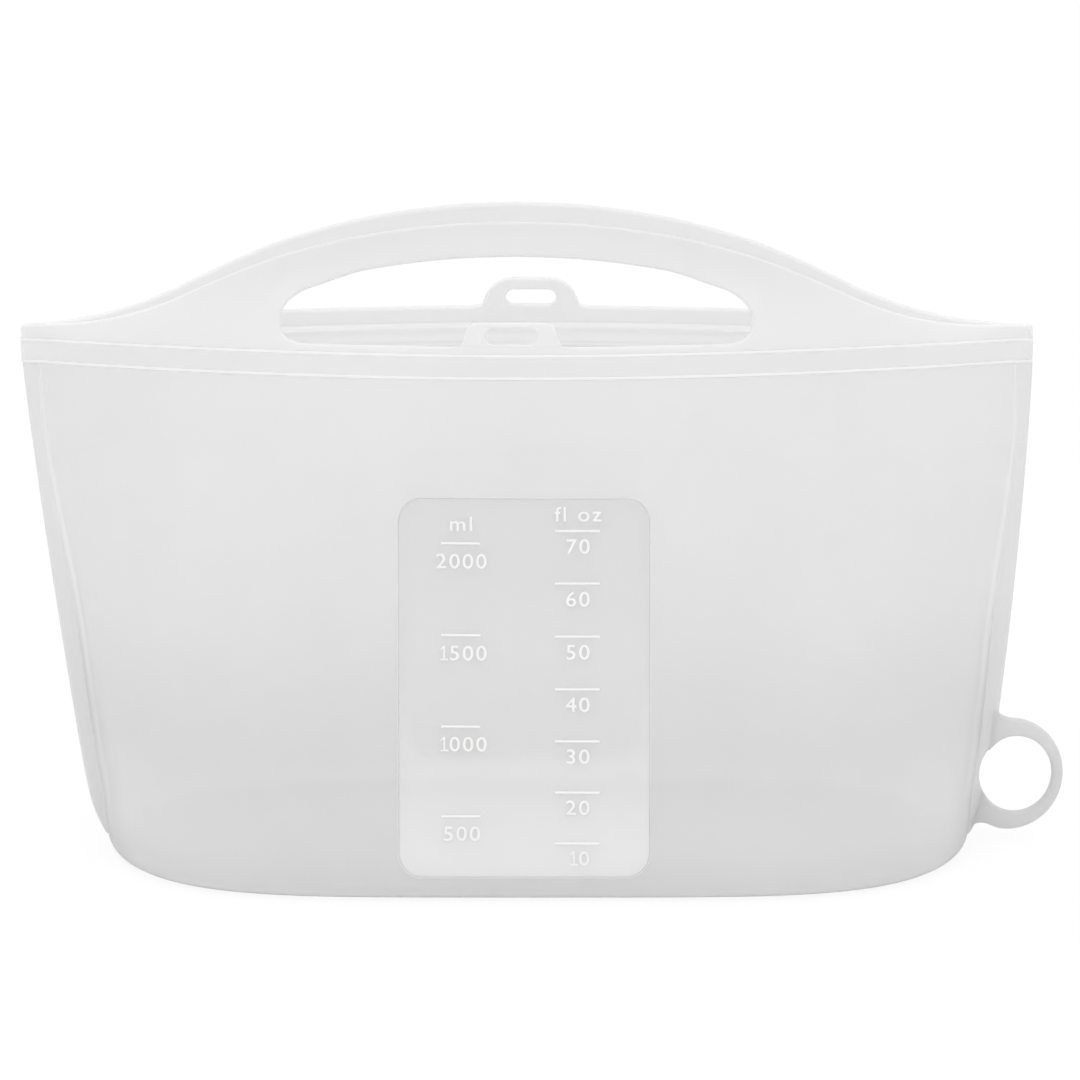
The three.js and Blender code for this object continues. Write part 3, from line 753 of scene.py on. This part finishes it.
def flange_section(direction, level):
    """Closed section at a level of the wall; its x is worked out as if to the right."""
    surface = wall_surface(FRONT, 0.0)
    across, level = np.array([WALL_END * direction]), np.array([level])
    end = surface(across, level)[0]
    along = end - surface(across - 2.0 * direction, level)[0]
    along[2] = 0
    along /= np.linalg.norm(along)
    normal = normals(surface, across - 0.4 * direction, level, FRONT)[0]
    inner = end - normal * 2 * wall_half(FRONT)(across, level)[0]
    z = float(end[2])
    tip = float(centre_x(z)) * direction + float(half_width(z)) - max(0.0, 2.0 - z) * 0.8
    if direction > 0:
        tip = min(tip, float(hole_left(z)))
    start_x, start_y = direction * end[0], end[1]
    along_x, along_y = direction * along[0], along[1]
    reach = max(0.0, (-FLANGE_HALF - start_y) / max(along_y, 0.12))
    room = tip - start_x
    nose_r = min(1.05, 0.4 * room)
    # hollow curve from the wall's end to the flat of the flange, then a rounded nose
    turn_x = start_x + min(along_x * reach, 0.35 * room)
    run = min(max(0.4, math.hypot(along_x * reach, along_y * reach)), 1.6)
    flat_x = min(turn_x + run, tip - nose_r - 0.02)
    t = np.linspace(0, 1, 7)[:, None]
    hollow = ((1 - t) ** 2 * np.array([start_x, start_y])
              + 2 * (1 - t) * t * np.array([turn_x, -FLANGE_HALF - 0.01])
              + t**2 * np.array([flat_x, -FLANGE_HALF]))
    angles = np.radians(np.linspace(-90, 90, 9))
    nose = np.stack([tip - nose_r + nose_r * np.cos(angles),
                     FLANGE_HALF * np.sin(angles)], 1)
    front = np.concatenate([hollow, nose[:5]])
    rear = front[::-1] * [1, -1]
    inner_x, inner_y = direction * inner[0], min(inner[1], -0.05)
    outline = np.concatenate([front, rear[1:], [[inner_x, -inner_y], [inner_x, inner_y]]])
    heights = np.full(len(outline), z)
    heights[-2:] = inner[2]
    return np.stack([outline[:, 0] * direction, outline[:, 1], heights], 1)


def flange(direction, name):
    """Side flange; direction is the sign of x."""
    levels = np.concatenate([np.linspace(Z_END, Z_RIM, 13)[:-1], np.linspace(Z_RIM, 34, 42),
                             np.linspace(36, Z_WALL_TOP, 40)])
    sections = [flange_section(direction, level) for level in levels]
    # the two strips against the walls' ends are joints
    strips = [SKIN] * (len(sections[0]) - 3) + [JOINT, SKIN, JOINT]
    return loft(name, sections, [M_FLANGE, M_JOINT], strips, cap=JOINT)


flange_left = flange(-1, "left_side_flange")
flange_right = flange(1, "right_side_flange")

# ------------------------------------------------------------------ mouth: zip bands
# outer face, going down, as (depth below the face, z); the bulges are two raised edge lines
BAND_OUTER = np.array([
    (0.0, 148.0 - 0.01), (-0.26, 147.88), (-0.4, 147.6), (-0.26, 147.32), (0.0, 147.15),
    (0.0, 146.6), (0.0, 145.0), (0.0, 143.4), (0.0, 142.2),
    (0.0, 141.9), (-0.26, 141.72), (-0.4, 141.44), (-0.26, 141.16), (0.0, 141.0)])
# inner face, going up, as (height above the face, z)
BAND_INNER = {
    FRONT: np.array([
        (0, 141.0), (0, 142.6), (0.5, 142.9), (1.4, 143.3), (1.75, 143.9), (1.75, 144.9),
        (1.4, 145.5), (0.5, 145.9), (0, 146.2), (0, 147.99)]),
    REAR: np.array([
        (0, 141.0), (1.0, 141.12), (1.3, 141.45), (1.1, 141.95), (0.6, 142.5), (0.6, 144.9),
        (1.2, 145.7), (1.5, 146.5), (1.1, 147.2), (0.3, 147.85), (0, 147.99)])}


def band_y(x, z):
    """Outer half depth of the band: the wall's own line at its foot, the lip's at its top."""
    foot = smooth(z, Z_SEAM, Z_BAND)
    lip = lip_y(x, z)
    share = np.abs(x - centre_x(Z_BAND)) / wall_half_width(Z_BAND)
    wall = np.maximum(bow(np.minimum(share, 1), Z_BAND), FLANGE_HALF)
    wall = np.where(np.abs(x - centre_x(z)) > half_width(z) - 2.5, lip, wall)
    return lip * (1 - foot) + np.maximum(lip, wall) * foot


def zip_band(side):
    stations = np.concatenate([
        np.linspace(-139.35, -136, 8), np.linspace(-134, 134, 110),
        np.linspace(136, 139.35, 8)]) + float(centre_x(Z_SEAM))
    sink, outer_z = BAND_OUTER.T
    rise, inner_z = BAND_INNER[side].T
    z = np.concatenate([outer_z, inner_z])
    sections = []
    for x in stations:
        outer_y = band_y(x, outer_z)
        outer_y = outer_y - sink * np.minimum(1.0, outer_y / FLANGE_HALF)
        inner_y = np.maximum(band_y(x, inner_z) - LIP_T - rise, 0.015)
        y = side * np.concatenate([outer_y, inner_y])
        sections.append(np.stack([np.full(len(z), x), y, z], 1))
    # raised lines take the edge material with its painted highlight; the foot and the top are
    # joints
    outer_strips = [EDGE_HIGHLIGHT] * 4 + [SKIN] * 5 + [EDGE_HIGHLIGHT] * 4 + [JOINT]
    inner_strips = [SKIN] * (len(rise) - 1) + [JOINT]
    return loft(f"{SIDES[side]}_zip_band", sections, sheet_slots(M_BAND[side]),
                outer_strips + inner_strips, cap=SKIN)


bands = {side: zip_band(side) for side in SIDES}

# ------------------------------------------------------------------ handles
# Each handle is one sheet from the zip band to the arch.
HANDLE_HALF_W = 139.3
GRIP_BAND = 9.3                    # width of the strip over the grip opening
# grip opening: lip height over the seam, half width, top of the lower corner over the seam,
# and how far the lower corner's curve starts and pulls in from the side
GRIP = {
    FRONT: dict(lip=2.0, half=64.0, corner=2.0 + 4.6, start=7.0, pull=2.4),
    REAR: dict(lip=4.8, half=68.5, corner=4.8 + 2.6, start=3.0, pull=1.2)}
TAB_HALF = 13.6                    # half width of a pull tab at its foot
FOOT_SPREAD = 0.8                  # the handle's joint reaches this far past the tab
# pull tabs: middle, top, and the slot's height and radius; at even stations up the
# shoulder, the share of the tab's height (rise) and the inset from its foot
TABS = {
    FRONT: dict(x=-7.3, top=156.5, slot_z=152.95, slot_r=2.3,
                rise=[0.0, 0.3, 0.6, 0.82, 0.94, 0.985, 1.0],
                inset=[0.0, 0.65, 1.2, 2.0, 3.2, 4.5, 6.2]),
    REAR: dict(x=-2.0, top=161.1, slot_z=155.5, slot_r=2.35,
               rise=[0.0, 0.18, 0.42, 0.63, 0.83, 0.96, 1.0],
               inset=[0.0, 0.43, 1.2, 2.2, 4.15, 6.4, 8.4])}


def handle_outline():
    middle = float(centre_x(Z_SEAM))
    left, right = middle - HANDLE_HALF_W, middle + HANDLE_HALF_W
    xs = np.linspace(left + 1.4, right - 1.4, 144)
    top = np.stack([xs, Z_SEAM + arch_height(np.abs(xs - HANDLE_X))], 1)
    z = top[0][1] - 1.3
    right_corner = bezier((right, z), (right, z + 0.9), (right - 0.45, top[-1][1]),
                          top[-1], 6)[:-1]
    left_corner = bezier(top[0], (left + 0.45, top[0][1]), (left, z + 0.9), (left, z), 6)[1:]
    return np.concatenate([
        [(left, Z_SEAM), (right, Z_SEAM), (right, Z_SEAM + 0.6)],
        right_corner, top[::-1], left_corner, [(left, Z_SEAM + 0.6)]])


def grip_opening(side):
    grip, tab_x = GRIP[side], TABS[side]["x"]
    reach = np.linspace(-56, 56, 57)
    away = np.abs(reach)
    slope = arch_height(away + 0.5) - arch_height(np.maximum(0, away - 0.5))
    top = np.stack([HANDLE_X + reach,
                    Z_SEAM + arch_height(away) - GRIP_BAND * np.hypot(1, slope)
                    - 1.3 * smooth(away, 40, 56)], 1)
    end = top[-1][1] - Z_SEAM
    low, corner = grip["lip"], grip["corner"]

    def lower_corner(sign):
        """From the lip up to the side."""
        x = HANDLE_X + sign * grip["half"]
        return bezier((x - sign * grip["start"], Z_SEAM + low),
                      (x - sign * grip["pull"], Z_SEAM + low),
                      (x, Z_SEAM + low + 0.44 * (corner - low)), (x, Z_SEAM + corner), 9)

    def upper_corner(sign, top_end):
        """From the side up to the strip's underside."""
        x = HANDLE_X + sign * grip["half"]
        return bezier((x, Z_SEAM + 8.6), (x, Z_SEAM + 11.4),
                      (x - sign * 3.1, Z_SEAM + end - 1.9), top_end, 12)

    lower_right, lower_left = lower_corner(1), lower_corner(-1)
    tab_ends = [(tab_x - TAB_HALF - FOOT_SPREAD, Z_SEAM + low),
                (tab_x + TAB_HALF + FOOT_SPREAD, Z_SEAM + low)]
    return np.concatenate([
        lower_left[:1], tab_ends, lower_right, upper_corner(1, top[-1]), top[::-1][1:-1],
        upper_corner(-1, top[0])[::-1], lower_left[:0:-1]])


def handle_half(x, z):
    return np.minimum(LIP_T, np.maximum(lip_y(x, z) - 0.03, 0.05)) / 2


def handle(side):
    tab_x, z_lip = TABS[side]["x"], Z_SEAM + GRIP[side]["lip"] + 0.05

    def under_tab(points):
        return (np.abs(points[:, 0] - tab_x) < TAB_HALF + 0.85) & (points[:, 1] < z_lip)

    def radius(number, points):
        """Sharp where the sheet meets the band or the tab, rounded elsewhere."""
        z = points[:, 1]
        if number == 0:
            return 0.06 + 0.89 * smooth(z, Z_SEAM, Z_SEAM + 1.6)
        away = np.abs(np.abs(points[:, 0] - tab_x) - TAB_HALF - FOOT_SPREAD)
        on_lip = np.where(z < z_lip, 0.04 + 0.91 * smooth(away, 0, 2.6), 0.95)
        return np.where(under_tab(points), 0.04, on_lip)

    def hidden(number, points):
        return points[:, 1] < Z_SEAM + 0.02 if number == 0 else under_tab(points)

    return pillow(f"{SIDES[side]}_handle_sheet", [handle_outline(), grip_opening(side)],
                  lip_surface(side), handle_half, radius, sheet_slots(M_HANDLE[side]),
                  edge_step=1.1, grid_step=2.6, side=side, arcs=5, hidden=hidden)


handles = {side: handle(side) for side in SIDES}


# ------------------------------------------------------------------ pull tabs
def pull_tab(side):
    spec = TABS[side]
    middle, foot_z0 = spec["x"], Z_SEAM + GRIP[side]["lip"]
    rise, inset = (curve(list(enumerate(spec[key]))) for key in ("rise", "inset"))
    stations = np.linspace(0.22, 6, 30)
    right = np.stack([middle + TAB_HALF - inset(stations),
                      foot_z0 + (spec["top"] - foot_z0) * rise(stations)], 1)
    x, z = right[0]
    foot = bezier((middle + TAB_HALF + 0.45, foot_z0 + 0.14),
                  (middle + TAB_HALF + 0.15, foot_z0 + 0.22),
                  (x + 0.05, z - 0.15), (x, z), 3)[:-1]

    def mirrored(points):
        return (points * [-1, 1] + [2 * middle, 0])[::-1]

    outer = np.concatenate([
        [(middle - TAB_HALF - 0.7, foot_z0), (middle + TAB_HALF + 0.7, foot_z0)],
        foot, right, mirrored(right), mirrored(foot)])
    slot_r = spec["slot_r"]
    straight = 7.1 - slot_r
    slot = [ellipse_point((middle + sign * straight, spec["slot_z"], slot_r, slot_r), degrees)
            for sign, start in ((1, -90), (-1, 90))
            for degrees in np.linspace(start, start + 180, 11)]

    def radius(number, points):
        over = points[:, 1] - foot_z0
        if number:
            return np.clip(0.7 * (over - 0.05), 0.1, 0.42)
        return np.where(over < 0.05, 0.03, 0.03 + 0.55 * smooth(over, 0.1, 2.2))

    def hidden(number, points):
        return (points[:, 1] < foot_z0 + 0.02) & (number == 0)

    return pillow(f"{SIDES[side]}_pull_tab_loop", [outer, np.array(slot)], lip_surface(side),
                  lambda x, z: handle_half(x, z) * 0.97, radius, sheet_slots(M_HANDLE[side]),
                  edge_step=0.7, grid_step=1.1, side=side, hidden=hidden)


tabs = {side: pull_tab(side) for side in SIDES}

# ------------------------------------------------------------------ hanging ring
RING_TOP, RING_BOTTOM = 39.2, 4.2  # heights at which the ring leaves the flange
RING_HALF = 1.5                    # half thickness


def flange_edge(z):
    return centre_x(z) + half_width(z) - 1.5


def ring_outline():
    """C-shaped outline: outer edge, back along the flange, round the hole and home."""
    outer, hole = partial(ellipse_point, RING_OUTER), partial(ellipse_point, RING_HOLE)
    edge_top, edge_bottom = flange_edge(RING_TOP), flange_edge(RING_BOTTOM)
    crown_x, crown_z = outer(90)

    def meets_flange(start, end):
        """First angle at which the hole's edge comes clear of the flange."""
        for degrees in np.linspace(start, end, 400):
            x, z = hole(degrees)
            if x >= flange_edge(z):
                return degrees

    def along_flange(z_from, z_to):
        return [(flange_edge(z), z) for z in np.linspace(z_from, z_to, 8)]

    low, high = meets_flange(181, 269), meets_flange(179, 91)
    return np.array([
        (edge_top, RING_TOP),
        *bezier((edge_top + 0.5, RING_TOP - 0.1), (edge_top + 2.0, 37.5),
                (crown_x - 2.0, crown_z + 0.15), outer(84), 12),
        *[outer(degrees) for degrees in np.linspace(80, -95, 62)],
        *bezier(outer(-98), (129.9, 3.75), (127.2, 6.4),
                (edge_bottom + 0.35, RING_BOTTOM + 0.2), 12),
        *along_flange(RING_BOTTOM, hole(low)[1] - 0.3),
        *[hole(degrees) for degrees in np.linspace(low, high + 360, 74)],
        *along_flange(hole(high)[1] + 0.3, RING_TOP - 0.5)])


def hanging_ring():
    def radius(number, points):
        return 0.03 + 1.15 * smooth(points[:, 0] - flange_edge(points[:, 1]), 0.05, 4.5)

    return pillow("hanging_ring_loop", [ring_outline()],
                  lambda x, z: np.stack([x, np.full_like(x, -RING_HALF), z], -1),
                  lambda x, z: np.full_like(x, RING_HALF), radius, sheet_slots(M_SOLID),
                  edge_step=0.8, grid_step=1.5, arcs=5,
                  hidden=lambda _, points: points[:, 0] < flange_edge(points[:, 1]) + 0.06)


ring = hanging_ring()

# ------------------------------------------------------------------ scale on the front window
TEXT_H = 3.9
MARK_SINK, MARK_TOP = -0.2, 0.42   # marks run from inside the pane to above its face
ML_X, OZ_X = -20.9, 10.8           # middles of the two columns of figures


def on_front(x, z, height):
    """Points at heights over the outer face of the front pane."""
    surface = wall_surface(FRONT)
    across = across_of(x, z)
    lift = (height + PANE_OFFSET)[:, None]
    return surface(across, z) + normals(surface, across, z, FRONT) * lift


def figure_one(x_mid, z_base, height):
    """Figure 1 with a flag and a foot."""
    stem, foot, foot_h, flag = 0.23, 1.05, 0.42, 0.95
    outline = [(-foot, 0), (-stem, 0), (stem, 0), (foot, 0), (foot, foot_h), (stem, foot_h),
               (stem, height), (-stem, height), (-flag, height - 0.80),
               (-flag, height - 1.26), (-stem, height - 0.62), (-stem, foot_h),
               (-foot, foot_h)]
    caps = [(0, 1, 11, 12), (2, 3, 4, 5), (1, 2, 5, 11), (11, 5, 6, 10), (10, 6, 7),
            (9, 10, 7, 8)]
    size = len(outline)
    points = np.array([(x_mid + x, z_base + z, level) for level in (MARK_SINK, MARK_TOP)
                       for x, z in outline])
    faces = ring_quads(0, size, size)
    faces += [tuple(reversed(cap)) for cap in caps]
    faces += [tuple(size + i for i in cap) for cap in caps]
    return on_front(*points.T), faces


def text_mesh(text, x_mid, z_base):
    settings = dict(body=text, align_x="CENTER", size=TEXT_H / 0.70, extrude=0.30,
                    space_character=1.16, bevel_depth=0.07, bevel_resolution=1,
                    offset=-0.03, resolution_u=4)
    font = bpy.data.curves.new("t", "FONT")
    for key, value in settings.items():
        setattr(font, key, value)
    temporary = bpy.data.objects.new("t", font)
    bpy.context.scene.collection.objects.link(temporary)
    depsgraph = bpy.context.evaluated_depsgraph_get()
    mesh = bpy.data.meshes.new_from_object(temporary.evaluated_get(depsgraph))
    bpy.data.objects.remove(temporary)
    points = np.array([vert.co for vert in mesh.vertices], float).reshape(-1, 3)
    faces = [tuple(polygon.vertices) for polygon in mesh.polygons]
    x, z, height = points[:, 0] * 1.13 + x_mid, points[:, 1] + z_base, points[:, 2]
    height = (height - height.min()) / (height.max() - height.min()) * 0.62 + MARK_SINK
    placed = on_front(x, z, height)
    if text[0] != "1":
        return placed, faces
    # the font's 1 is a bare stroke: a figure with a flag and a foot takes its place
    bare = x < x.min() + 1.0
    faces = [face for face in faces if not all(bare[i] for i in face)]
    z_bare = z[bare]
    one = figure_one(x[bare].mean() + 0.8, z_bare.min(), z_bare.max() - z_bare.min())
    return joined([(placed, faces), one])


def bar(x_from, x_to, z_mid, width=0.6):
    profile = [(-width / 2, MARK_SINK), (-width / 2, 0.25), (-width / 4, MARK_TOP),
               (width / 4, MARK_TOP), (width / 2, 0.25), (width / 2, MARK_SINK)]
    stations, size = np.linspace(x_from, x_to, 7), len(profile)
    points = np.array([(x, z_mid + up, level) for x in stations for up, level in profile])
    faces = []
    for k in range(len(stations) - 1):
        faces += ring_quads(k * size, (k + 1) * size, size)
    faces.append(tuple(range(size)))
    faces.append(tuple(len(points) - size + i for i in range(size)))
    return on_front(*points.T), faces


def joined(parts):
    """One (points, faces) pair out of several."""
    faces, count = [], 0
    for points, part_faces in parts:
        faces += [tuple(i + count for i in face) for face in part_faces]
        count += len(points)
    return np.concatenate([points for points, _ in parts]), faces


def scale_marks():
    parts = []
    for z, text in ((97.0, "2000"), (72.8, "1500"), (48.5, "1000"), (24.2, "500")):
        parts += [bar(-26.4, -15.7, z), text_mesh(text, ML_X, z - 6.6)]
    for k in range(7):
        z = 16.8 + k * (100.4 - 16.8) / 6
        parts += [bar(4.6, 16.8, z), text_mesh(str(10 * (k + 1)), OZ_X, z - 6.0)]
    parts += [text_mesh("ml", ML_X, 100.3), text_mesh("fl oz", 10.9, 103.0)]
    points, faces = joined(parts)
    return new_object("scale_marks", points, faces, [M_MARK], shade_smooth=False, merge=1e-7)


marks = scale_marks()

# ------------------------------------------------------------------ hang the rigid pieces on the frame; the flexible ones only get their transforms baked
# (piece, the CAD pieces it replaces)
RIGID = [
    (walls[FRONT], ["front_wall"]),
    (walls[REAR], ["rear_wall"]),
    (panes[FRONT], ["measuring_window"]),
    (panes[REAR], ["rear_window"]),
    (base, ["base_panel", "base_rim"]),
    (flange_left, ["left_side_seam"]),
    (flange_right, ["right_side_seam"]),
    (bands[FRONT], ["front_zip_track", "left_mouth_corner"]),
    (bands[REAR], ["rear_zip_track", "right_mouth_corner"])]
# (piece, moving body, start and end of the blend in metres, the CAD piece it replaces)
FLEXIBLE = [
    (handles[FRONT], "front_handle_body", (0, 0, 0.1502), (0, 0, 0.161), "front_handle"),
    (handles[REAR], "rear_handle_body", (0, 0, 0.1528), (0, 0, 0.163), "rear_handle"),
    (tabs[FRONT], "front_tab_body", (0, 0, 0.1501), (0, 0, 0.1521), "front_pull_tab"),
    (tabs[REAR], "rear_tab_body", (0, 0, 0.1529), (0, 0, 0.1548), "rear_pull_tab"),
    (ring, "ring_body", (0.1275, 0, 0.0199), (0.1325, 0, 0.0191), "hanging_ring")]
for piece, replaced in RIGID:
    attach(piece, "bag")
    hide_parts(*replaced)
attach(marks, "bag")
for piece, body, start, end, replaced in FLEXIBLE:
    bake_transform(piece)
    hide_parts(replaced)

# ------------------------------------------------------------------ stage (metres)
scene = bpy.context.scene


def floor_paper():
    """White paper; the camera sees it nearly plain white with a trace of the shadow."""
    material = bpy.data.materials.new("floor_paper")
    material.use_nodes = True
    tree = material.node_tree
    paper = tree.nodes["Principled BSDF"]
    paper.inputs["Base Color"].default_value = (0.93, 0.93, 0.93, 1)
    paper.inputs["Roughness"].default_value = 0.8
    paper.inputs["Specular IOR Level"].default_value = 0.1
    white = add_node(tree, "Emission", {"Color": (1, 1, 1, 1)})
    seen = add_node(tree, "LightPath").outputs["Is Camera Ray"]
    share = add_node(tree, "Math", {0: seen, 1: 0.86}, operation="MULTIPLY")
    mix = add_node(tree, "MixShader", {0: share, 1: paper, 2: white})
    tree.links.new(mix.outputs[0], tree.nodes["Material Output"].inputs["Surface"])
    material.cycles.emission_sampling = "NONE"
    return material


def add_floor():
    mesh = bpy.data.meshes.new("floor")
    bm = bmesh.new()
    bmesh.ops.create_grid(bm, x_segments=8, y_segments=8, size=6.0)
    bm.to_mesh(mesh)
    bm.free()
    floor = bpy.data.objects.new("floor", mesh)
    scene.collection.objects.link(floor)
    floor.location = (0, 0, -0.0002)
    mesh.materials.append(floor_paper())


def add_world():
    """Light that grows with height; the backdrop itself is seen at least plain white."""
    world = bpy.data.worlds.new("studio")
    scene.world = world
    world.use_nodes = True
    tree = world.node_tree
    tree.nodes.clear()
    direction = add_node(tree, "TexCoord").outputs["Generated"]
    up = add_node(tree, "SeparateXYZ", {0: direction}).outputs["Z"]
    gradient = add_map(tree, up, (-0.1, 0.9), (0.78, 1.15))
    seen = add_node(tree, "LightPath").outputs["Is Camera Ray"]
    strength = add_node(tree, "Math", {0: gradient, 1: seen}, operation="MAXIMUM")
    light = add_node(tree, "Background", {"Color": (1, 1, 1, 1), "Strength": strength})
    add_node(tree, "OutputWorld", {"Surface": light})


def add_softbox():
    place, target = Vector((0.0, -0.25, 1.4)), Vector((0, 0, 0.08))
    light = bpy.data.lights.new("softbox_top", "AREA")
    light.size = 1.2
    light.energy = 5.0
    softbox = bpy.data.objects.new("softbox_top", light)
    scene.collection.objects.link(softbox)
    softbox.location = place
    softbox.rotation_mode = "QUATERNION"
    softbox.rotation_quaternion = (target - place).to_track_quat("-Z", "Y")


def add_camera():
    distance, pitch = 1.0, math.radians(17)
    view_width = 0.3024            # width seen at the target
    target_x, target_z = 0.00053, 0.0896
    lens = bpy.data.cameras.new("camera")
    camera = bpy.data.objects.new("camera", lens)
    scene.collection.objects.link(camera)
    scene.camera = camera
    lens.sensor_width = 36.0
    lens.lens = 36.0 * distance / view_width
    lens.clip_start, lens.clip_end = 0.01, 50
    camera.location = (target_x, -distance * math.cos(pitch),
                       target_z + distance * math.sin(pitch))
    camera.rotation_mode = "XYZ"
    camera.rotation_euler = (math.pi / 2 - pitch, 0, 0)


add_floor()
add_world()
add_softbox()
add_camera()
scene.view_settings.view_transform = "Standard"
scene.view_settings.look = "None"
scene.view_settings.exposure = 0.0
scene.cycles.transparent_max_bounces = 32
